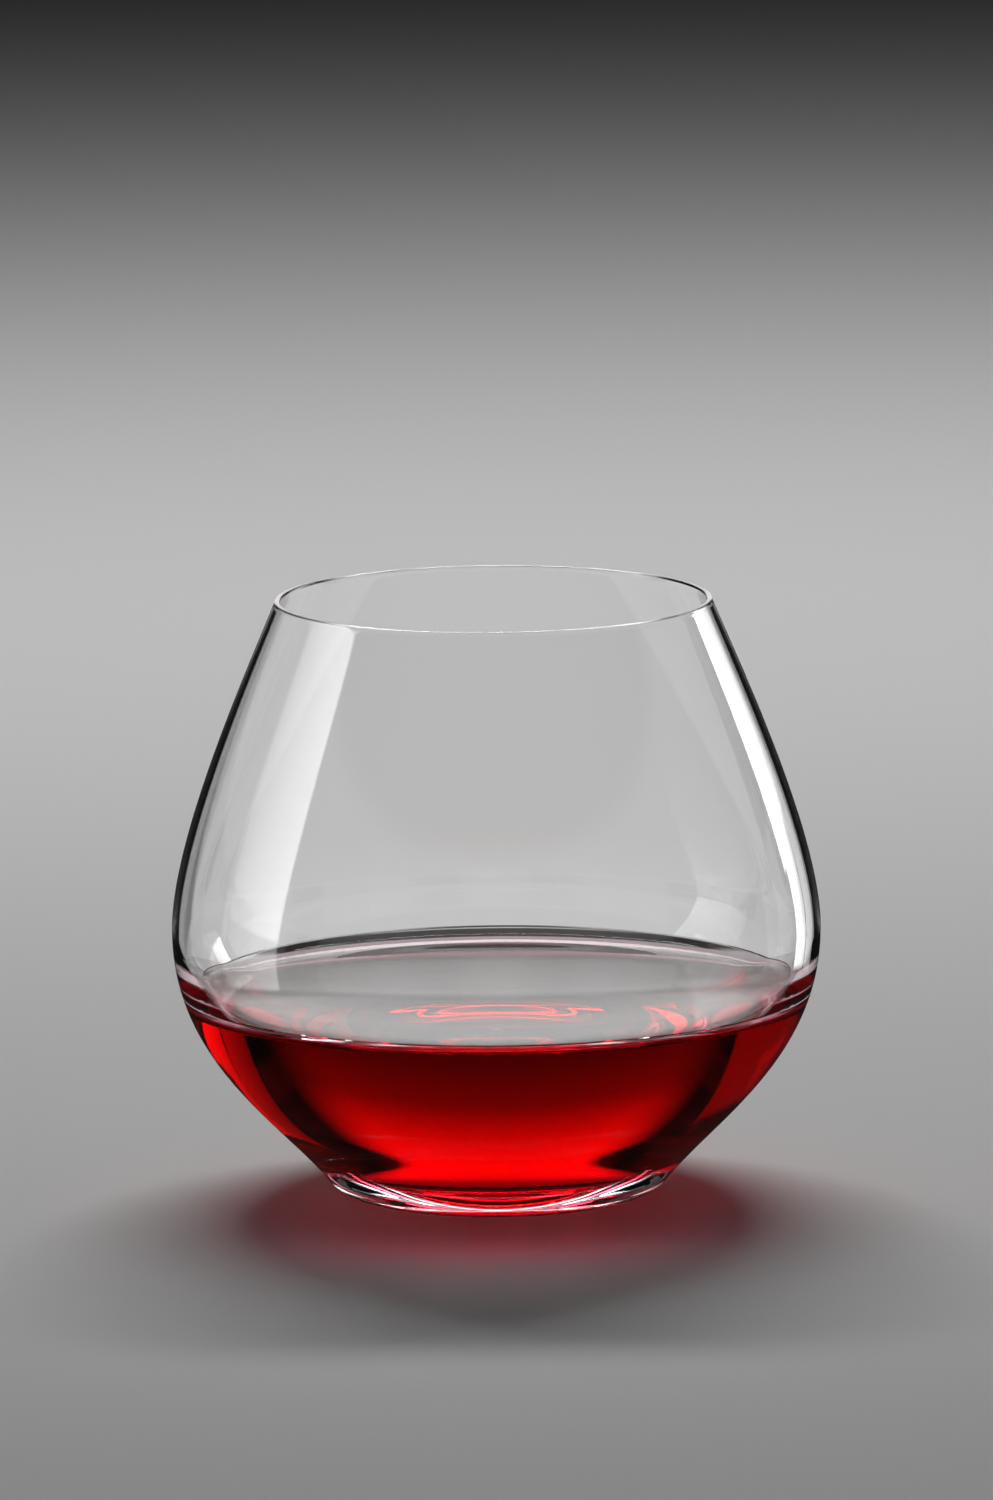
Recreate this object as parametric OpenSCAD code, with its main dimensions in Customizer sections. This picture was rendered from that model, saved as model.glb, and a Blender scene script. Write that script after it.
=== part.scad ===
// Stemless wine glass with a filling of red wine.
// The glass is one body of revolution about Z: a rounded lip, a thin bowl that is widest low down,
// and a thick base that is hollow underneath. The wine lies in the bowl and climbs the wall a little.
// Lengths are millimetres. The origin is the middle of the table face under the foot, and +Z is up.

/* [Bowl] */
// Overall height, from the table to the top of the lip
glass_h = 96; // [86:0.5:112]
// Outside diameter at the lip
lip_d = 69.9; // [60:0.1:82]
// Outside diameter of the belly, the widest place
belly_d = 104; // [96:0.5:118]
// Height of the belly above the table
belly_h = 42.6; // [37:0.1:50]
// Lean of the wall at the lip, in degrees from upright
lip_lean = 21.5; // [14:0.5:28]

/* [Wall] */
// Thickness of the rounded lip
lip_t = 0.9; // [0.7:0.05:1.5]
// Thickness of the wall at the belly
belly_t = 1.3; // [1:0.05:2]
// Height of the bowl's floor above the table, in the middle
floor_h = 4.2; // [3.4:0.1:6.6]

/* [Foot] */
// Outside diameter of the flat ring that the glass rests on
foot_d = 43; // [36:0.5:47]
// Width of the flat ring
foot_ring_w = 2.5; // [1.5:0.1:5]
// Depth of the hollow inside the ring
punt_depth = 1.2; // [0.6:0.1:2.4]
// Outside diameter of the heel, where the lower wall begins
heel_d = 54.6; // [50:0.2:60]
// Height of the heel above the table
heel_h = 2; // [1.4:0.1:3]
// Lean of the lower wall at the heel, in degrees from upright
heel_lean = 38; // [30:0.5:44]

/* [Wine] */
// Height of the level surface of the wine above the table
wine_h = 31.1; // [20:0.1:38]
// How far the wine climbs above its level where it meets the glass
climb_h = 2.2; // [1:0.1:2.8]
// How wide the climbing edge is, as the capillary length of wine
capillary_l = 2.2; // [2:0.05:2.7]
// Running gap between the wine and the glass, all round
wine_gap = 0.05; // [0.02:0.01:0.1]

/* [Hidden] */
$fn = 96;

// Steps along each curve of the section
curve_steps = 24;
// Steps around the half circle of the lip
lip_steps = 12;
// Steps along the climbing edge of the wine
climb_steps = 12;

// Lengths of the curves' handles, as shares of the height or radius that each curve spans
belly_up_share = 0.29;
lip_down_share = 0.16;
heel_up_share = 0.325;
belly_down_share = 0.505;
floor_out_share = 0.4;
inner_belly_down_share = 0.52;
foot_out_share = 0.5;
heel_down_share = 0.8;
punt_in_share = 0.55;
punt_ring_share = 0.3;
// Where the wine's edge starts to rise, as a share of its climb
climb_start_share = 0.02;

belly_r = belly_d / 2;
foot_r = foot_d / 2;
punt_r = foot_r - foot_ring_w;
lip_z = glass_h - lip_t / 2;
heel_point = [heel_d / 2, heel_h];
belly_point = [belly_r, belly_h];
lip_centre = [lip_d / 2 - lip_t / 2, lip_z];

// A step of a given length, in a direction given as degrees from upright
function along(lean, length) = length * [sin(lean), cos(lean)];

// Points of the cubic curve that leaves a towards b and reaches d from c
function curve(a, b, c, d) = [
    for (i = [0:curve_steps])
        let (t = i / curve_steps, u = 1 - t)
        u * u * u * a + 3 * u * u * t * b + 3 * u * t * t * c + t * t * t * d
];

function reversed(points) = [for (i = [len(points) - 1:-1:0]) points[i]];

// From the belly up to the lip, for a wall face that passes through the two given points
function upper_wall(belly, lip) =
    let (span = lip.y - belly.y)
    curve(
        belly,
        belly + along(0, belly_up_share * span),
        lip - along(-lip_lean, lip_down_share * span),
        lip
    );

// The outside, from the heel up to the belly
function lower_outside() =
    let (span = belly_h - heel_h)
    curve(
        heel_point,
        heel_point + along(heel_lean, heel_up_share * span),
        belly_point - along(0, belly_down_share * span),
        belly_point
    );

// The bowl's inside below the belly, from the middle of the floor, drawn in by a gap
function lower_inside(gap) =
    let (
        middle = [0, floor_h + gap],
        belly = [belly_r - belly_t - gap, belly_h],
        span = belly.y - middle.y
    )
    curve(
        middle,
        middle + [floor_out_share * belly.x, 0],
        belly - along(0, inner_belly_down_share * span),
        belly
    );

// The hollow under the foot, from its middle out to the flat ring
function punt() =
    curve(
        [0, punt_depth],
        [punt_in_share * punt_r, punt_depth],
        [punt_r - punt_ring_share * punt_r, 0],
        [punt_r, 0]
    );

// The rounded edge under the heel, from the flat ring
function foot_edge() =
    let (rise = heel_point - [foot_r, 0])
    curve(
        [foot_r, 0],
        [foot_r + foot_out_share * rise.x, 0],
        heel_point - along(heel_lean, heel_down_share * rise.y),
        heel_point
    );

// The half circle of the lip, from its outside to its inside
function lip_arc() = [
    for (i = [0:lip_steps])
        let (turn = 180 * i / lip_steps)
        lip_centre + lip_t / 2 * [cos(turn), sin(turn)]
];

// Height of the wine's edge above its level gives the distance from the wall, by the law of a
// liquid that wets an upright wall: c acosh(2c/h) - sqrt(4c^2 - h^2), less its value at the wall
function acosh(x) = ln(x + sqrt(x * x - 1));
function wetting(h) = capillary_l * acosh(2 * capillary_l / h) - sqrt(4 * pow(capillary_l, 2) - h * h);

// The wine's climbing edge, from the wall inwards and down
function climbing_edge(wall_r) = [
    for (i = [0:climb_steps])
        let (h = climb_h * pow(climb_start_share, i / climb_steps))
        [wall_r - wetting(h) + wetting(climb_h), wine_h + h]
];

module glass_vessel() {
    outer_lip = [lip_d / 2, lip_z];
    inner_lip = [lip_d / 2 - lip_t, lip_z];
    inner_belly = [belly_r - belly_t, belly_h];
    color([0.86, 0.89, 0.9, 0.35])
        rotate_extrude()
            polygon(concat(
                punt(),
                foot_edge(),
                lower_outside(),
                upper_wall(belly_point, outer_lip),
                lip_arc(),
                reversed(upper_wall(inner_belly, inner_lip)),
                reversed(lower_inside(0))
            ));
}

module red_wine() {
    wall = lower_inside(wine_gap);
    top_h = wine_h + climb_h;
    wall_r = lookup(top_h, [for (p = wall) [p.y, p.x]]);
    color([0.55, 0, 0.04])
        rotate_extrude()
            polygon(concat(
                [for (p = wall) if (p.y < top_h) p],
                climbing_edge(wall_r),
                [[0, wine_h]]
            ));
}

glass_vessel();
red_wine();
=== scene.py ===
"""A stemless wine glass with a filling of red wine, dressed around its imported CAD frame.

Every length is in metres, in the frame's own axes: the middle of the foot's resting plane is the
origin and +Z runs up the glass's axis of revolution. Both pieces are surfaces of revolution, worked
out with numpy from a section curve, so that glass and wine refract smoothly.
"""

import logging
import math
from dataclasses import dataclass, field, replace
from enum import Enum
from typing import Union

import bpy
import numpy as np
from mathutils import Matrix, Vector


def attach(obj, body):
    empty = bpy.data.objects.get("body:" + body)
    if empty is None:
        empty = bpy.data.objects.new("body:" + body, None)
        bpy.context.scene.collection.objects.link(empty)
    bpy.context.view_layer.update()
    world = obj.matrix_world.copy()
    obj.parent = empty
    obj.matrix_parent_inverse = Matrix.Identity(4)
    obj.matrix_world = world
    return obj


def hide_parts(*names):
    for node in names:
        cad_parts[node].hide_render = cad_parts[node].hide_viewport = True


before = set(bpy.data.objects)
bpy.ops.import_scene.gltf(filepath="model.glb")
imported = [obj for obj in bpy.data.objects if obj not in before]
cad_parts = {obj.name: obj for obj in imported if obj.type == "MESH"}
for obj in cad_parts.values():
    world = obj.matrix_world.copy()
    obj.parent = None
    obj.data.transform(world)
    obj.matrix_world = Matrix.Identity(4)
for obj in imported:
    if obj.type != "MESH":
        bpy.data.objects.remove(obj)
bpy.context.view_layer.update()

log = logging.getLogger("wine_glass")

Socket = bpy.types.NodeSocket
Value = Union[Socket, float]

MM = 0.001
# Half a turn in degrees, and the degrees in one radian
HALF_TURN = 180.0
DEGREES = HALF_TURN / math.pi

# Name of the point attribute that is above 0 where wine and glass touch
WET = "wet"
# Its values at points that touch, at free points, and at a corner where the two kinds of face meet
TOUCHING = 1.0
FREE = -1.0
MEETING = 0.001
# Index of refraction of wine, which the glass needs too where the two touch
WINE_IOR = 1.344
# Section points that are closer than this count as one
SAME_POINT = 1e-6


class Ray(Enum):
    """The kinds of ray that a stage surface can answer apart, by their sockets on Light Path.

    A ray that has come through glass is of the glossy kind too, so the transmission kind is asked after it.
    """

    CAMERA = "Is Camera Ray"
    GLOSSY = "Is Glossy Ray"
    TRANSMISSION = "Is Transmission Ray"


class Body(Enum):
    """The two bodies of the frame that pieces ride on."""

    VESSEL = "vessel"
    WINE = "wine"


@dataclass(frozen=True)
class Span:
    """A stretch of a value from low to high, and the width of the soft edges inside its two ends."""

    low: float
    high: float
    soft: float = 0.0


def along(lean_deg: float, length: float) -> np.ndarray:
    """Gives a step in the section's plane.

    Args:
        lean_deg: direction, in degrees from upright.
        length: length of the step.

    Returns:
        The step as (radius, height).
    """
    lean = math.radians(lean_deg)
    return length * np.array([math.sin(lean), math.cos(lean)])


def cubic(a: np.ndarray, b: np.ndarray, c: np.ndarray, d: np.ndarray, steps: int) -> np.ndarray:
    """Gives points of the cubic curve that leaves a towards b and reaches d from c.

    With t from 0 to 1 and u = 1 - t, a point is u^3 a + 3 u^2 t b + 3 u t^2 c + t^3 d.

    Args:
        a: first point, as (radius, height).
        b: handle of the first point.
        c: handle of the last point.
        d: last point.
        steps: number of steps along the curve.

    Returns:
        The points, one row each, with both ends.
    """
    t = np.linspace(0.0, 1.0, steps + 1)[:, None]
    u = 1.0 - t
    return u**3 * a + 3 * u**2 * t * b + 3 * u * t**2 * c + t**3 * d


def without_repeats(points: np.ndarray) -> np.ndarray:
    """Drops each section point that lies on the one before it.

    Args:
        points: section points.

    Returns:
        The points with a step of over a micrometre between neighbours.
    """
    apart = np.linalg.norm(np.diff(points, axis=0), axis=1) > SAME_POINT
    return points[np.concatenate([[True], apart])]


def revolve(name: str, section: np.ndarray, wet: np.ndarray, turns: int) -> bpy.types.Object:
    """Makes a closed, smooth surface of revolution about Z.

    A section point (r, z) at the angle w becomes (r cos w, r sin w, z). The section's two ends lie on
    the axis, and each is one vertex there, joined to its neighbours by triangles. The section runs so
    that its left side is the outside of the solid.

    Args:
        name: name of the piece.
        section: section points as rows of (radius, height), from one pole to the other.
        wet: a number for each section point, above 0 where wine and glass touch.
        turns: number of steps around the axis.

    Returns:
        The object, linked to the scene, at the origin.
    """
    ring = section[1:-1]
    w = np.linspace(0.0, 2 * math.pi, turns, endpoint=False)
    x = np.outer(ring[:, 0], np.cos(w))
    y = np.outer(ring[:, 0], np.sin(w))
    z = np.repeat(ring[:, 1:2], turns, axis=1)
    poles = np.array([[0.0, 0.0, section[0, 1]], [0.0, 0.0, section[-1, 1]]])
    points = np.vstack([np.stack([x, y, z], axis=-1).reshape(-1, 3), poles])

    row = np.arange(len(ring) - 1)[:, None] * turns
    step = np.arange(turns)[None, :]
    after = (step + 1) % turns
    corners = [row + step, row + after, row + turns + after, row + turns + step]
    quads = np.stack(corners, axis=-1).reshape(-1, 4)
    last = (len(ring) - 1) * turns
    first_pole = len(ring) * turns
    here, there = step[0], after[0]
    first_fan = np.stack([np.full(turns, first_pole), there, here], axis=-1)
    last_fan = np.stack([last + here, last + there, np.full(turns, first_pole + 1)], axis=-1)

    loops = np.concatenate([quads.ravel(), first_fan.ravel(), last_fan.ravel()])
    sizes = np.concatenate([np.full(len(quads), 4), np.full(2 * turns, 3)])
    mesh = bpy.data.meshes.new(name)
    mesh.vertices.add(len(points))
    mesh.vertices.foreach_set("co", points.ravel())
    mesh.loops.add(len(loops))
    mesh.loops.foreach_set("vertex_index", loops.astype(np.int32))
    mesh.polygons.add(len(sizes))
    mesh.polygons.foreach_set("loop_start", np.concatenate([[0], np.cumsum(sizes)[:-1]]).astype(np.int32))
    mesh.update(calc_edges=True)
    mesh.validate()
    mesh.polygons.foreach_set("use_smooth", np.ones(len(mesh.polygons), dtype=bool))
    marks = np.concatenate([np.repeat(wet[1:-1], turns), [wet[0], wet[-1]]])
    mesh.attributes.new(WET, "FLOAT", "POINT").data.foreach_set("value", marks.astype(np.float32))
    piece = bpy.data.objects.new(name, mesh)
    bpy.context.scene.collection.objects.link(piece)
    return piece


class Nodes:
    """A short hand for building a node tree: it adds nodes and joins sockets."""

    def __init__(self, tree: bpy.types.NodeTree) -> None:
        """Empties the tree and keeps it."""
        self.tree = tree
        tree.nodes.clear()

    def add(self, kind: str, **settings: object) -> bpy.types.Node:
        """Adds a node.

        Args:
            kind: the node's class name.
            settings: values for the node's own settings, by name.

        Returns:
            The node.
        """
        node = self.tree.nodes.new(kind)
        for name, value in settings.items():
            setattr(node, name, value)
        return node

    def join(self, source: Socket, target: Socket) -> None:
        """Links an output to an input."""
        self.tree.links.new(source, target)

    def math(self, operation: str, a: Value, b: Value | None = None, c: Value | None = None) -> Socket:
        """Adds a Math node over sockets or numbers.

        Args:
            operation: the node's operation.
            a: first operand, a socket or a number.
            b: second operand.
            c: third operand.

        Returns:
            The result's socket.
        """
        node = self.add("ShaderNodeMath", operation=operation)
        for slot, value in zip(node.inputs, (a, b, c)):
            if isinstance(value, Socket):
                self.join(value, slot)
            elif value is not None:
                slot.default_value = value
        return node.outputs[0]

    def step_up(self, value: Socket, low: float, high: float) -> Socket:
        """Adds a smooth rise from 0 at low to 1 at high.

        Args:
            value: the socket to read.
            low: value at which the result is 0.
            high: value at which the result is 1.

        Returns:
            The result's socket.
        """
        node = self.add("ShaderNodeMapRange", interpolation_type="SMOOTHSTEP")
        self.join(value, node.inputs["Value"])
        node.inputs["From Min"].default_value = low
        node.inputs["From Max"].default_value = high
        return node.outputs[0]

    def rise_over(self, value: Socket, span: Span) -> Socket:
        """Adds a smooth rise from 0 to 1 over a span."""
        return self.step_up(value, span.low, span.high)

    def window(self, value: Socket, span: Span) -> Socket:
        """Adds a value that is 1 within a span and 0 outside, with soft edges.

        Args:
            value: the socket to read.
            span: the stretch, with the width of its soft edges.

        Returns:
            The result's socket.
        """
        up = self.step_up(value, span.low, span.low + span.soft)
        down = self.step_up(value, span.high - span.soft, span.high)
        return self.math("SUBTRACT", up, down)

    def band(self, value: Socket, span: Span, inside: float) -> Socket:
        """Adds a factor that is 1 outside a span and a given number within it."""
        return self.blend(self.window(value, span), 1.0, inside)

    def blend(self, factor: Value, a: Value, b: Value) -> Socket:
        """Mixes two numbers.

        Args:
            factor: 0 gives a, 1 gives b.
            a: a socket or a number.
            b: a socket or a number.

        Returns:
            The result's socket.
        """
        rise = self.math("SUBTRACT", b, a)
        return self.math("MULTIPLY_ADD", rise, factor, a)

    def ramp(self, value: Socket, stops: tuple[tuple[float, float], ...]) -> Socket:
        """Adds a value that runs straight from stop to stop.

        Args:
            value: the socket to read.
            stops: pairs of (value read, value given), with the first numbers rising.

        Returns:
            The result's socket.
        """
        start, end = stops[0][0], stops[-1][0]
        peak = max(given for _, given in stops)
        share = self.math("DIVIDE", self.math("SUBTRACT", value, start), end - start)
        node = self.add("ShaderNodeValToRGB")
        self.join(share, node.inputs[0])
        marks = node.color_ramp.elements
        while len(marks) < len(stops):
            marks.new(1.0)
        for mark, (read, given) in zip(marks, stops):
            mark.position = (read - start) / (end - start)
            mark.color = (given / peak, given / peak, given / peak, 1.0)
        return self.math("MULTIPLY", node.outputs["Color"], peak)

    def split(self, vector: Socket) -> bpy.types.Node:
        """Adds a node that takes a vector apart.

        Args:
            vector: the socket to read.

        Returns:
            The node, with outputs X, Y and Z.
        """
        parts = self.add("ShaderNodeSeparateXYZ")
        self.join(vector, parts.inputs[0])
        return parts

    def azimuth(self, parts: bpy.types.Node) -> Socket:
        """Adds the angle of a direction from +Y, straight behind the glass, to the right.

        Args:
            parts: the node that takes the direction apart.

        Returns:
            The angle's socket, in degrees.
        """
        angle = self.math("ARCTAN2", parts.outputs["X"], parts.outputs["Y"])
        return self.math("MULTIPLY", angle, DEGREES)

    def clear(self, ior: float) -> bpy.types.Node:
        """Adds a smooth, clear surface shader.

        Args:
            ior: index of refraction inside, over the one outside.

        Returns:
            The shader's node.
        """
        shader = self.add("ShaderNodeBsdfPrincipled")
        shader.inputs["Base Color"].default_value = (1.0, 1.0, 1.0, 1.0)
        shader.inputs["Roughness"].default_value = 0.0
        shader.inputs["IOR"].default_value = ior
        shader.inputs["Transmission Weight"].default_value = 1.0
        return shader

    def where_wet(self, dry: Socket, wet: Socket) -> Socket:
        """Joins two surface shaders by the piece's own mark for faces where wine and glass touch.

        Args:
            dry: shader of the free faces.
            wet: shader of the faces that touch.

        Returns:
            The socket of the joined shader.
        """
        mark = self.add("ShaderNodeAttribute", attribute_name=WET)
        mix = self.add("ShaderNodeMixShader")
        self.join(self.math("GREATER_THAN", mark.outputs["Fac"], 0.0), mix.inputs[0])
        self.join(dry, mix.inputs[1])
        self.join(wet, mix.inputs[2])
        return mix.outputs[0]


@dataclass(frozen=True)
class ClearGlassFinish:
    """Fire-polished clear glass with the faint waviness that blowing leaves.

    Faces that touch the wine bend light as it bends between wine and glass, with no air between.
    """

    ior: float = 1.5
    tint: tuple[float, float, float, float] = (0.80, 0.93, 0.90, 1.0)
    density: float = 2.0
    wave_scale: float = 38.0
    wave_stretch: tuple[float, float, float] = (1.0, 1.0, 0.35)
    wave_detail: float = 1.0
    wave_strength: float = 0.010
    wave_height: float = 0.0004

    def material(self) -> bpy.types.Material:
        """Builds the material.

        Returns:
            A clear, faintly wavy glass with a slight absorption.
        """
        material = bpy.data.materials.new("clear_glass")
        material.use_nodes = True
        nodes = Nodes(material.node_tree)
        place = nodes.add("ShaderNodeTexCoord").outputs["Object"]
        dry = nodes.clear(self.ior)
        wet = nodes.clear(self.ior / WINE_IOR)
        stretch = nodes.add("ShaderNodeMapping")
        stretch.inputs["Scale"].default_value = self.wave_stretch
        nodes.join(place, stretch.inputs["Vector"])
        waves = nodes.add("ShaderNodeTexNoise")
        waves.inputs["Scale"].default_value = self.wave_scale
        waves.inputs["Detail"].default_value = self.wave_detail
        nodes.join(stretch.outputs["Vector"], waves.inputs["Vector"])
        bump = nodes.add("ShaderNodeBump")
        bump.inputs["Strength"].default_value = self.wave_strength
        bump.inputs["Distance"].default_value = self.wave_height
        nodes.join(waves.outputs["Fac"], bump.inputs["Height"])
        for shader in (dry, wet):
            nodes.join(bump.outputs["Normal"], shader.inputs["Normal"])
        haze = nodes.add("ShaderNodeVolumeAbsorption")
        haze.inputs["Color"].default_value = self.tint
        haze.inputs["Density"].default_value = self.density
        end = nodes.add("ShaderNodeOutputMaterial")
        nodes.join(nodes.where_wet(dry.outputs["BSDF"], wet.outputs["BSDF"]), end.inputs["Surface"])
        nodes.join(haze.outputs["Volume"], end.inputs["Volume"])
        return material


@dataclass(frozen=True)
class WineFinish:
    """Clear red wine: it passes red and drinks up green and blue within a few millimetres.

    Faces that touch the glass let light straight through, because the glass's own face bends it there.
    """

    ior: float = WINE_IOR
    tint: tuple[float, float, float, float] = (0.89, 0.0, 0.2, 1.0)
    density: float = 200.0

    def material(self) -> bpy.types.Material:
        """Builds the material.

        Returns:
            A mirror-smooth red liquid.
        """
        material = bpy.data.materials.new("wine")
        material.use_nodes = True
        nodes = Nodes(material.node_tree)
        dry = nodes.clear(self.ior)
        wet = nodes.add("ShaderNodeBsdfTransparent")
        pigment = nodes.add("ShaderNodeVolumeAbsorption")
        pigment.inputs["Color"].default_value = self.tint
        pigment.inputs["Density"].default_value = self.density
        end = nodes.add("ShaderNodeOutputMaterial")
        nodes.join(nodes.where_wet(dry.outputs["BSDF"], wet.outputs[0]), end.inputs["Surface"])
        nodes.join(pigment.outputs["Volume"], end.inputs["Volume"])
        return material


@dataclass
class BowlSection:
    """The glass's section: sizes of the lip, wall, belly, floor, heel and foot, and its curves.

    Leans are degrees from upright. A share gives the length of a curve's handle as a part of the
    height or radius that the curve spans.
    """

    height: float = 96.0 * MM
    lip_r: float = 34.95 * MM
    lip_t: float = 0.9 * MM
    lip_lean: float = 21.5
    belly_r: float = 52.0 * MM
    belly_h: float = 42.6 * MM
    belly_t: float = 1.3 * MM
    floor_h: float = 4.2 * MM
    foot_r: float = 21.5 * MM
    ring_w: float = 2.5 * MM
    punt_depth: float = 1.2 * MM
    heel_r: float = 27.3 * MM
    heel_h: float = 2.0 * MM
    heel_lean: float = 38.0
    belly_up_share: float = 0.29
    lip_down_share: float = 0.16
    heel_up_share: float = 0.325
    belly_down_share: float = 0.505
    floor_out_share: float = 0.4
    inner_belly_down_share: float = 0.52
    foot_out_share: float = 0.5
    heel_down_share: float = 0.8
    punt_in_share: float = 0.55
    punt_ring_share: float = 0.3
    steps: int = 44
    lip_steps: int = 18

    def upper_wall(self, belly: np.ndarray, lip: np.ndarray) -> np.ndarray:
        """Gives a wall face from the belly up to the lip.

        Args:
            belly: the face's point at the belly.
            lip: the face's point at the lip.

        Returns:
            Section points, upwards.
        """
        span = lip[1] - belly[1]
        leave = belly + along(0, self.belly_up_share * span)
        arrive = lip - along(-self.lip_lean, self.lip_down_share * span)
        return cubic(belly, leave, arrive, lip, self.steps)

    def lower_outside(self) -> np.ndarray:
        """Gives the outside from the heel up to the belly.

        Returns:
            Section points, upwards.
        """
        heel = np.array([self.heel_r, self.heel_h])
        belly = np.array([self.belly_r, self.belly_h])
        span = self.belly_h - self.heel_h
        leave = heel + along(self.heel_lean, self.heel_up_share * span)
        arrive = belly - along(0, self.belly_down_share * span)
        return cubic(heel, leave, arrive, belly, self.steps)

    def lower_inside(self, grown: float = 0.0) -> np.ndarray:
        """Gives the bowl's inside below the belly.

        Args:
            grown: how far the curve is moved out into the glass.

        Returns:
            Section points, from the middle of the floor up to the belly.
        """
        middle = np.array([0.0, self.floor_h - grown])
        belly = np.array([self.belly_r - self.belly_t + grown, self.belly_h])
        span = belly[1] - middle[1]
        leave = middle + np.array([self.floor_out_share * belly[0], 0.0])
        arrive = belly - along(0, self.inner_belly_down_share * span)
        return cubic(middle, leave, arrive, belly, 2 * self.steps)

    def punt(self) -> np.ndarray:
        """Gives the hollow under the foot.

        Returns:
            Section points, from its middle out to the flat ring.
        """
        ring = self.foot_r - self.ring_w
        top = np.array([0.0, self.punt_depth])
        leave = top + np.array([self.punt_in_share * ring, 0.0])
        arrive = np.array([ring - self.punt_ring_share * ring, 0.0])
        return cubic(top, leave, arrive, np.array([ring, 0.0]), self.steps)

    def foot_edge(self) -> np.ndarray:
        """Gives the rounded edge under the heel.

        Returns:
            Section points, from the flat ring up to the heel.
        """
        ring = np.array([self.foot_r, 0.0])
        heel = np.array([self.heel_r, self.heel_h])
        leave = ring + np.array([self.foot_out_share * (heel - ring)[0], 0.0])
        arrive = heel - along(self.heel_lean, self.heel_down_share * self.heel_h)
        return cubic(ring, leave, arrive, heel, self.steps)

    def lip_arc(self) -> np.ndarray:
        """Gives the lip's half circle: its centre plus half the lip's thickness times (cos, sin).

        Returns:
            Section points, from the outside of the lip to its inside.
        """
        turn = np.linspace(0.0, math.pi, self.lip_steps + 1)
        centre = np.array([self.lip_r - self.lip_t / 2, self.height - self.lip_t / 2])
        return centre + self.lip_t / 2 * np.column_stack([np.cos(turn), np.sin(turn)])

    def outline(self) -> np.ndarray:
        """Gives the whole section.

        Returns:
            Section points, from the middle of the hollow foot round the lip to the middle of the floor.
        """
        lip_z = self.height - self.lip_t / 2
        outer = self.upper_wall(np.array([self.belly_r, self.belly_h]), np.array([self.lip_r, lip_z]))
        inner_belly = np.array([self.belly_r - self.belly_t, self.belly_h])
        inner = self.upper_wall(inner_belly, np.array([self.lip_r - self.lip_t, lip_z]))
        outside = [self.punt(), self.foot_edge(), self.lower_outside(), outer]
        inside = [self.lip_arc(), inner[::-1], self.lower_inside()[::-1]]
        return without_repeats(np.vstack(outside + inside))


@dataclass
class GlassVessel:
    """The one-piece glass: lip, bowl, belly and thick base. It touches wine inside, up to wine_edge."""

    section: BowlSection
    wine_edge: float
    finish: ClearGlassFinish = field(default_factory=ClearGlassFinish)
    turns: int = 288

    def build(self) -> bpy.types.Object:
        """Makes the vessel and puts it in the place of its CAD node.

        The mark of a point inside is how far it lies below the wine's edge, in millimetres.

        Returns:
            The dressed piece.
        """
        outline = self.section.outline()
        inside = np.arange(len(outline)) > np.argmax(outline[:, 1])
        wet = np.where(inside, (self.wine_edge - outline[:, 1]) / MM, FREE)
        piece = revolve("blown_glass", outline, wet, self.turns)
        piece.data.materials.append(self.finish.material())
        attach(piece, Body.VESSEL.value)
        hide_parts("glass_vessel")
        return piece


@dataclass
class RedWine:
    """The filling, level in the middle, with an edge that climbs the wall.

    It reaches a little into the glass, so that light passes from one to the other with no air between.
    """

    section: BowlSection
    level: float = 31.1 * MM
    climb: float = 2.2 * MM
    capillary: float = 2.2 * MM
    overlap: float = 0.04 * MM
    climb_start_share: float = 0.004
    climb_steps: int = 40
    level_steps: int = 12
    finish: WineFinish = field(default_factory=WineFinish)
    turns: int = 288

    @property
    def top(self) -> float:
        """Gives the height at which the wine's edge ends on the wall."""
        return self.level + self.climb

    def distance(self, height: np.ndarray) -> np.ndarray:
        """Gives how far from an upright wall the wine's edge stands at a height above its level.

        With the capillary length c, the distance is c arcosh(2c / h) - sqrt(4 c^2 - h^2).

        Args:
            height: heights above the level.

        Returns:
            The distances, which grow as the height falls.
        """
        c = self.capillary
        return c * np.arccosh(2 * c / height) - np.sqrt(4 * c**2 - height**2)

    def outline(self) -> np.ndarray:
        """Gives the section.

        Returns:
            Section points, from the middle of the bottom up the wall and in to the middle of the top.
        """
        wall = self.section.lower_inside(self.overlap)
        wall_r = float(np.interp(self.top, wall[:, 1], wall[:, 0]))
        lower = wall[wall[:, 1] < self.top]
        height = self.climb * np.geomspace(1.0, self.climb_start_share, self.climb_steps + 1)
        reach = self.distance(height) - self.distance(np.array([self.climb]))
        edge = np.column_stack([wall_r - reach, self.level + height])
        inner_r = np.linspace(edge[-1, 0], 0.0, self.level_steps + 1)[1:]
        level = np.column_stack([inner_r, np.full(self.level_steps, self.level)])
        return without_repeats(np.vstack([lower, edge, level]))

    def build(self) -> bpy.types.Object:
        """Makes the wine and puts it in the place of its CAD node.

        Returns:
            The dressed piece.
        """
        outline = self.outline()
        corner = int(np.argmax(outline[:, 1]))
        wet = np.where(np.arange(len(outline)) < corner, TOUCHING, FREE)
        wet[corner] = MEETING
        piece = revolve("poured_wine", outline, wet, self.turns)
        piece.data.materials.append(self.finish.material())
        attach(piece, Body.WINE.value)
        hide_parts("red_wine")
        return piece


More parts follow.
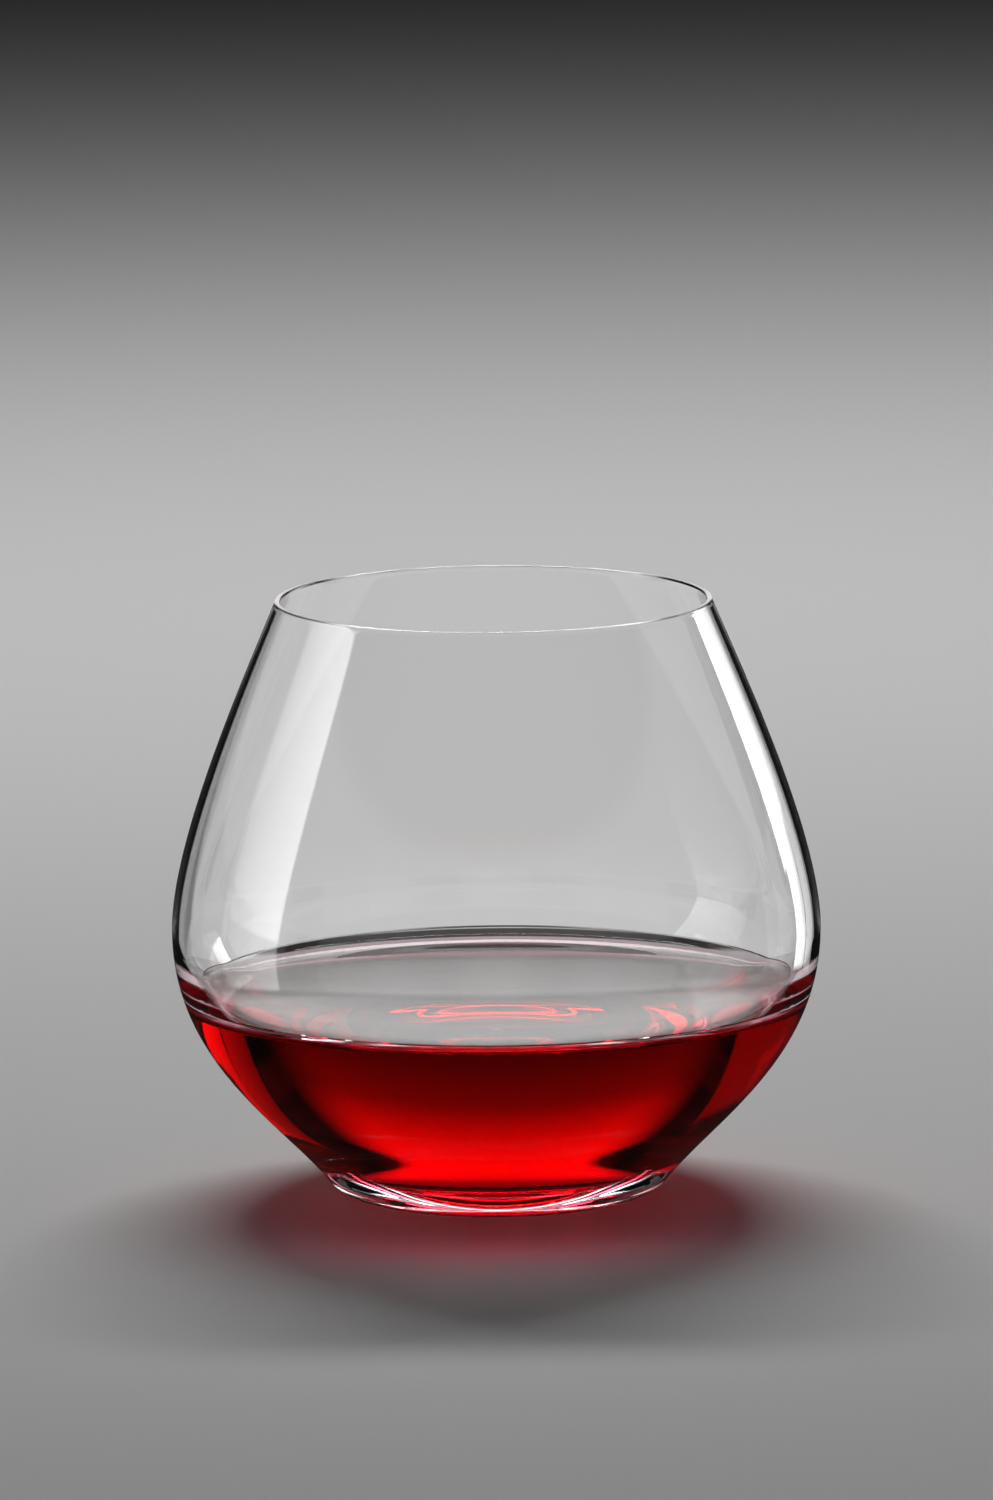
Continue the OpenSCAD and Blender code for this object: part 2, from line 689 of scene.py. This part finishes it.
@dataclass
class Softbox:
    """A flat lamp with soft edges, aimed at a point on the glass's axis.

    Azimuth is in degrees from straight behind the glass, to the right, and elevation in degrees above
    the table. The light changes evenly across the lamp, from near_share to far_share of its radiance.
    The through_ sizes place the lamp's twin for rays that have come through the glass.
    """

    name: str
    azimuth: float
    elevation: float
    distance: float
    width: float
    height: float
    radiance: float
    near_share: float = 1.0
    far_share: float = 1.0
    soft_share: float = 0.04
    lights_floor: bool = False
    mirrored: bool = True
    passes_glass: bool = False
    spread: float = HALF_TURN
    aim: tuple[float, float, float] = (0.0, 0.0, 0.05)
    through_elevation: float = 20.0
    through_distance: float = 0.94
    through_height: float = 0.6

    def seen_through_glass(self, radiance: float) -> "Softbox":
        """Gives the lamp's twin for rays that have come through the glass.

        The twin ends above the floor, so a camera that looks down through the glass doesn't face it.

        Args:
            radiance: brightness of the twin.

        Returns:
            The twin.
        """
        return replace(
            self,
            name=self.name + "_through",
            elevation=self.through_elevation,
            distance=self.through_distance,
            height=self.through_height,
            radiance=radiance,
            mirrored=False,
            passes_glass=True,
        )

    def shade(self, light: bpy.types.AreaLight) -> None:
        """Gives the lamp its gradient.

        With u and v from 0 to 1 across and up the lamp, its light is near_share (1 - u) + far_share u,
        and it fades out over soft_share of the width and height at the four edges.

        Args:
            light: the lamp's data.
        """
        light.use_nodes = True
        nodes = Nodes(light.node_tree)
        place = nodes.split(nodes.add("ShaderNodeNewGeometry").outputs["Parametric"])
        across, up = place.outputs["X"], place.outputs["Y"]
        lit = Span(0.0, 1.0, self.soft_share)
        strength = nodes.blend(across, self.near_share, self.far_share)
        for way in (across, up):
            strength = nodes.math("MULTIPLY", strength, nodes.window(way, lit))
        shader = nodes.add("ShaderNodeEmission")
        nodes.join(strength, shader.inputs["Strength"])
        nodes.join(shader.outputs[0], nodes.add("ShaderNodeOutputLight").inputs["Surface"])

    def build(self) -> bpy.types.Object:
        """Hangs the lamp.

        Its power is radiance times pi times its area, so that radiance 1 looks white. A lamp whose
        light has a narrower spread gets brighter by tan h / (tan h - h), with h half the spread, so its
        power is divided by that gain.

        Returns:
            The lamp's object.
        """
        light = bpy.data.lights.new(self.name, "AREA")
        light.shape = "RECTANGLE"
        light.size = self.width
        light.size_y = self.height
        light.spread = math.radians(self.spread)
        half = math.radians(self.spread) / 2
        gain = math.tan(half) / (math.tan(half) - half) if self.spread < HALF_TURN else 1.0
        light.energy = self.radiance * math.pi * self.width * self.height / gain
        self.shade(light)
        lamp = bpy.data.objects.new(self.name, light)
        az, el = math.radians(self.azimuth), math.radians(self.elevation)
        way = Vector((math.sin(az) * math.cos(el), math.cos(az) * math.cos(el), math.sin(el)))
        spot = way * self.distance
        turn = (Vector(self.aim) - spot).to_track_quat("-Z", "Y").to_matrix().to_4x4()
        lamp.matrix_world = Matrix.Translation(spot) @ turn
        lamp.visible_camera = False
        lamp.visible_diffuse = self.lights_floor
        lamp.visible_glossy = self.mirrored
        lamp.visible_transmission = self.passes_glass
        bpy.context.scene.collection.objects.link(lamp)
        return lamp


@dataclass
class Floor:
    """The plain pale floor.

    To rays that have come through the glass it has the tone glow, and is darker in three places: a
    circle under the glass, where a shadow of the bowl is painted, a ring round that, and a patch behind
    it over a range of azimuths. Past table_r such rays don't meet it at all. Nor do rays mirrored on the
    outside of the glass, anywhere.
    """

    half: float = 6.0
    tone: float = 0.74
    glow: float = 0.85
    # Painted shadow of the bowl: rays through the glass see the floor under the glass darkened to a share of
    # its tone.
    painted_shadow_disc: Span = Span(-1.0 * MM, 67.0 * MM, 3.0 * MM)
    painted_shadow_share: float = 0.07
    ring: Span = Span(66.0 * MM, 77.0 * MM, 2.0 * MM)
    ring_share: float = 0.08
    patch: Span = Span(91.0 * MM, 134.0 * MM, 3.0 * MM)
    patch_azimuth: Span = Span(-22.0, 22.0, 3.0)
    patch_share: float = 0.05
    table_r: float = 139.0 * MM

    def through_glass(self, nodes: Nodes, reach: Socket, azimuth: Socket) -> Socket:
        """Gives the floor's tone for rays that have come through the glass, with the bowl's shadow painted
        under it.

        Args:
            nodes: the floor's tree.
            reach: distance from the origin.
            azimuth: angle from straight behind the glass, in degrees.

        Returns:
            The tone.
        """
        # Painted shadow: rays through the glass see the floor under the bowl darkened, as if in its shade.
        painted_shadow_disc = nodes.band(reach, self.painted_shadow_disc, self.painted_shadow_share)
        seen = nodes.math("MULTIPLY", painted_shadow_disc, nodes.band(reach, self.ring, self.ring_share))
        near, middle = nodes.window(reach, self.patch), nodes.window(azimuth, self.patch_azimuth)
        patch = nodes.math("MULTIPLY", near, middle)
        seen = nodes.math("MULTIPLY", seen, nodes.blend(patch, 1.0, self.patch_share))
        return nodes.math("MULTIPLY", seen, self.glow)

    def material(self) -> bpy.types.Material:
        """Builds the material.

        Returns:
            A plain matt finish.
        """
        material = bpy.data.materials.new("floor")
        material.use_nodes = True
        nodes = Nodes(material.node_tree)
        place = nodes.add("ShaderNodeTexCoord").outputs["Object"]
        length = nodes.add("ShaderNodeVectorMath", operation="LENGTH")
        nodes.join(place, length.inputs[0])
        reach = length.outputs["Value"]
        rays = nodes.add("ShaderNodeLightPath")
        glossy = rays.outputs[Ray.GLOSSY.value]
        through = rays.outputs[Ray.TRANSMISSION.value]
        seen = self.through_glass(nodes, reach, nodes.azimuth(nodes.split(place)))
        shader = nodes.add("ShaderNodeBsdfDiffuse")
        nodes.join(nodes.blend(through, self.tone, seen), shader.inputs["Color"])
        far = nodes.math("MULTIPLY", nodes.math("GREATER_THAN", reach, self.table_r), glossy)
        mirrored = nodes.math("SUBTRACT", glossy, through)
        gone = nodes.math("MAXIMUM", far, mirrored)
        mix = nodes.add("ShaderNodeMixShader")
        nodes.join(gone, mix.inputs[0])
        nodes.join(shader.outputs[0], mix.inputs[1])
        nodes.join(nodes.add("ShaderNodeBsdfTransparent").outputs[0], mix.inputs[2])
        end = nodes.add("ShaderNodeOutputMaterial")
        nodes.join(mix.outputs[0], end.inputs["Surface"])
        return material

    def build(self) -> bpy.types.Object:
        """Lays the floor.

        Returns:
            The floor.
        """
        half = self.half
        corners = [(-half, -half, 0), (half, -half, 0), (half, half, 0), (-half, half, 0)]
        mesh = bpy.data.meshes.new("floor")
        mesh.from_pydata(corners, [], [(0, 1, 2, 3)])
        plane = bpy.data.objects.new("floor", mesh)
        bpy.context.scene.collection.objects.link(plane)
        mesh.materials.append(self.material())
        return plane


@dataclass
class Surroundings:
    """The world, as the camera, reflections and rays that come out of the glass each see it.

    Azimuths are degrees from straight behind the glass, to the right, and "aside" is an azimuth without
    its sign. A rise is in degrees above the horizon. Names that end in dark are the tones of dark places.
    """

    # For the camera, and for the floor's faint light
    grey: float = 0.40
    ambient: float = 0.02

    # For reflections on the outside: a dark room, with a bright ceiling behind the glass and a pale patch
    # from below the horizon up to it, which widens upwards. Depth is a direction's Y, 1 straight behind.
    room_dark: float = 0.01
    ceiling_glow: float = 8.0
    ceiling_rise: Span = Span(36.0, 44.0)
    ceiling_depth: Span = Span(-0.1, 0.1)
    rim_glow: float = 1.6
    rim_rise: Span = Span(-6.0, 44.0, 3.0)
    rim_aside: Span = Span(11.0, 16.0)
    rim_widening: float = 0.5

    # For rays out of the glass, below the horizon: grey, with a dark flag on both sides of each quarter
    # of the circle, soft ones in front, and a dark strip along the horizon, straight behind
    clear_grey: float = 0.56
    flag_dark: float = 0.003
    quarter_half: float = 45.0
    sharp_flag: Span = Span(8.0, 24.0, 1.5)
    soft_flag: Span = Span(5.0, 35.0, 12.0)
    soft_flag_share: float = 0.85
    front_aside: Span = Span(120.0, 135.0)
    flag_rise: Span = Span(-36.0, -28.0)
    strip_dark: float = 0.05
    strip_aside: Span = Span(12.0, 16.0)
    strip_rise: Span = Span(-1.5, 4.0, 0.7)

    # For the same rays above the horizon: the back light, its glow given over the rise, which narrows
    # upwards, dark beside it, plain light further round, and a sky overhead
    horizon_rise: Span = Span(3.2, 4.4)
    glow: tuple[tuple[float, float], ...] = (
        (3.0, 0.45), (4.2, 0.43), (6.0, 0.54), (8.0, 0.72), (10.0, 0.86), (11.0, 0.95), (12.0, 1.15),
        (13.0, 1.5), (14.0, 1.85), (16.3, 2.75), (19.0, 3.65), (20.6, 4.2), (22.0, 4.5), (24.2, 4.6),
        (25.6, 0.25), (27.0, 0.05))
    fall_aside: Span = Span(20.0, 32.0)
    fall_narrowing: float = 0.35
    fall_dark: float = 0.01
    back_azimuth: Span = Span(-31.0, 58.0, 1.0)
    side_glow: float = 0.9
    side_dark: float = 0.05
    side_rise: Span = Span(22.0, 26.0)
    zenith_glow: float = 0.5
    zenith_rise: Span = Span(58.0, 64.0)

    def below_horizon(self, nodes: Nodes, azimuth: Socket, rise: Socket) -> Socket:
        """Gives what rays that come out of the glass see below the horizon.

        Args:
            nodes: the world's tree.
            azimuth: azimuth of the ray.
            rise: rise of the ray.

        Returns:
            The brightness.
        """
        aside = nodes.math("ABSOLUTE", azimuth)
        from_quarter = nodes.math("PINGPONG", azimuth, self.quarter_half)
        front = nodes.rise_over(aside, self.front_aside)
        sharp = nodes.blend(front, nodes.window(from_quarter, self.sharp_flag), 0.0)
        soft = nodes.math("MULTIPLY", nodes.window(from_quarter, self.soft_flag), self.soft_flag_share)
        flag = nodes.math("MAXIMUM", sharp, nodes.math("MULTIPLY", soft, front))
        flag = nodes.math("MULTIPLY", flag, nodes.rise_over(rise, self.flag_rise))
        low = nodes.blend(flag, self.clear_grey, self.flag_dark)
        outer = nodes.rise_over(aside, self.strip_aside)
        strip = nodes.blend(outer, nodes.window(rise, self.strip_rise), 0.0)
        return nodes.blend(strip, low, self.strip_dark)

    def above_horizon(self, nodes: Nodes, azimuth: Socket, rise: Socket) -> Socket:
        """Gives what rays that come out of the glass see above the horizon.

        Within back_azimuth it is glow over the rise e, times a fall over a + fall_narrowing e, where a
        is the azimuth without its sign. Outside it is side_glow, and dark from side_rise up. The sky
        covers both from zenith_rise up.

        Args:
            nodes: the world's tree.
            azimuth: azimuth of the ray.
            rise: rise of the ray.

        Returns:
            The brightness.
        """
        aside = nodes.math("ABSOLUTE", azimuth)
        widened = nodes.math("MULTIPLY_ADD", rise, self.fall_narrowing, aside)
        fall = nodes.blend(nodes.rise_over(widened, self.fall_aside), 1.0, self.fall_dark)
        back = nodes.math("MULTIPLY", nodes.ramp(rise, self.glow), fall)
        side = nodes.blend(nodes.rise_over(rise, self.side_rise), self.side_glow, self.side_dark)
        back = nodes.blend(nodes.window(azimuth, self.back_azimuth), side, back)
        return nodes.blend(nodes.rise_over(rise, self.zenith_rise), back, self.zenith_glow)

    def mirrored(self, nodes: Nodes, depth: Socket, azimuth: Socket, rise: Socket) -> Socket:
        """Gives what reflections on the outside of the glass see. The bright parts draw the lip.

        Args:
            nodes: the world's tree.
            depth: the ray's Y, which is above 0 behind the glass.
            azimuth: azimuth of the ray.
            rise: rise of the ray.

        Returns:
            The brightness.
        """
        above, behind = nodes.rise_over(rise, self.ceiling_rise), nodes.rise_over(depth, self.ceiling_depth)
        ceiling = nodes.math("MULTIPLY", above, behind)
        narrowed = nodes.math("MULTIPLY_ADD", rise, -self.rim_widening, nodes.math("ABSOLUTE", azimuth))
        middle = nodes.blend(nodes.rise_over(narrowed, self.rim_aside), 1.0, 0.0)
        patch = nodes.math("MULTIPLY", nodes.window(rise, self.rim_rise), middle)
        room = nodes.blend(patch, self.room_dark, self.rim_glow)
        return nodes.blend(ceiling, room, self.ceiling_glow)

    def build(self) -> None:
        """Makes the world, as a brightness that depends on the kind of ray and on its direction."""
        world = bpy.data.worlds.new("studio")
        bpy.context.scene.world = world
        world.use_nodes = True
        nodes = Nodes(world.node_tree)
        parts = nodes.split(nodes.add("ShaderNodeTexCoord").outputs["Generated"])
        azimuth = nodes.azimuth(parts)
        rise = nodes.math("MULTIPLY", nodes.math("ARCSINE", parts.outputs["Z"]), DEGREES)
        low = self.below_horizon(nodes, azimuth, rise)
        high = self.above_horizon(nodes, azimuth, rise)
        through = nodes.blend(nodes.rise_over(rise, self.horizon_rise), low, high)
        mirrored = self.mirrored(nodes, parts.outputs["Y"], azimuth, rise)
        rays = nodes.add("ShaderNodeLightPath")
        value = nodes.blend(rays.outputs[Ray.GLOSSY.value], self.ambient, mirrored)
        value = nodes.blend(rays.outputs[Ray.TRANSMISSION.value], value, through)
        value = nodes.blend(rays.outputs[Ray.CAMERA.value], value, self.grey)
        shader = nodes.add("ShaderNodeBackground")
        nodes.join(value, shader.inputs["Color"])
        end = nodes.add("ShaderNodeOutputWorld")
        nodes.join(shader.outputs[0], end.inputs["Surface"])


@dataclass
class Camera:
    """The camera, at the photograph's angle, height and lens. Angles are in degrees."""

    distance: float = 1.70
    elevation: float = 9.7
    roll: float = 0.55
    aim_height: float = 71.4 * MM
    aim_side: float = 0.3 * MM
    view_height: float = 8.07
    sensor_mm: float = 36.0
    clip_end: float = 50.0

    def build(self) -> bpy.types.Object:
        """Sets up the camera.

        Returns:
            The camera.
        """
        lens = bpy.data.cameras.new("camera")
        lens.sensor_fit = "VERTICAL"
        lens.sensor_height = self.sensor_mm
        lens.lens = self.sensor_mm / 2 / math.tan(math.radians(self.view_height) / 2)
        lens.clip_end = self.clip_end
        camera = bpy.data.objects.new("camera", lens)
        el = math.radians(self.elevation)
        away = Vector((0.0, -math.cos(el), math.sin(el))) * self.distance
        spot = Vector((self.aim_side, 0.0, self.aim_height)) + away
        turn = (-away).to_track_quat("-Z", "Y").to_matrix().to_4x4()
        roll = Matrix.Rotation(-math.radians(self.roll), 4, "Z")
        camera.matrix_world = Matrix.Translation(spot) @ turn @ roll
        bpy.context.scene.collection.objects.link(camera)
        bpy.context.scene.camera = camera
        return camera


@dataclass
class Studio:
    """Camera, floor, surroundings and lamps, and how many bounces light may make."""

    softboxes: list[Softbox]
    camera: Camera = field(default_factory=Camera)
    floor: Floor = field(default_factory=Floor)
    surroundings: Surroundings = field(default_factory=Surroundings)
    bounces: int = 32
    glossy_bounces: int = 20

    def build(self) -> None:
        """Builds everything around the object and sets the plain view transform."""
        self.camera.build()
        self.floor.build()
        self.surroundings.build()
        for box in self.softboxes:
            box.build()
        scene = bpy.context.scene
        scene.view_settings.view_transform = "Standard"
        scene.cycles.max_bounces = self.bounces
        scene.cycles.glossy_bounces = self.glossy_bounces
        scene.cycles.transmission_bounces = self.bounces
        scene.cycles.transparent_max_bounces = self.bounces


def lamps() -> list[Softbox]:
    """Gives the studio's lamps.

    The tall softboxes draw the highlights on the wall. The key light lights the floor and casts the
    shadow. The small card close behind the glass gives the wine's surface its grey.

    Returns:
        The lamps, with the softboxes' twins for rays through the glass last.
    """
    left = Softbox("softbox_left", azimuth=-83.5, elevation=12.0, distance=0.9, width=0.50, height=0.9,
                   radiance=3.2, near_share=0.2, far_share=1.3)
    right = Softbox("softbox_right", azimuth=45.0, elevation=13.0, distance=0.9, width=0.16, height=0.84,
                    radiance=4.6, near_share=1.4, far_share=0.5)
    rear = Softbox("softbox_right_rear", azimuth=35.5, elevation=13.0, distance=0.9, width=0.14, height=0.84,
                   radiance=1.5, near_share=1.5, far_share=0.4)
    key = Softbox("key_light", azimuth=0.0, elevation=52.0, distance=1.3, width=0.9, height=0.14,
                  radiance=25.0, lights_floor=True, passes_glass=True)
    card = Softbox("surface_card", azimuth=0.0, elevation=33.4, distance=0.0718, width=0.13, height=0.012,
                   radiance=0.62, soft_share=0.25, mirrored=False, passes_glass=True, spread=40.0,
                   aim=(0.0, 0.0, 0.0285))
    twins = [
        left.seen_through_glass(radiance=3.2),
        right.seen_through_glass(radiance=6.5),
        rear.seen_through_glass(radiance=1.5),
    ]
    return [left, right, rear, key, card, *twins]


def main() -> None:
    """Builds the studio and the two pieces, and reports each piece."""
    logging.basicConfig(level=logging.INFO, format="%(message)s")
    Studio(softboxes=lamps()).build()
    section = BowlSection()
    wine = RedWine(section)
    for part in (GlassVessel(section, wine_edge=wine.top), wine):
        piece = part.build()
        log.info("%s: %d faces", piece.name, len(piece.data.polygons))


if __name__ == "__main__":
    main()
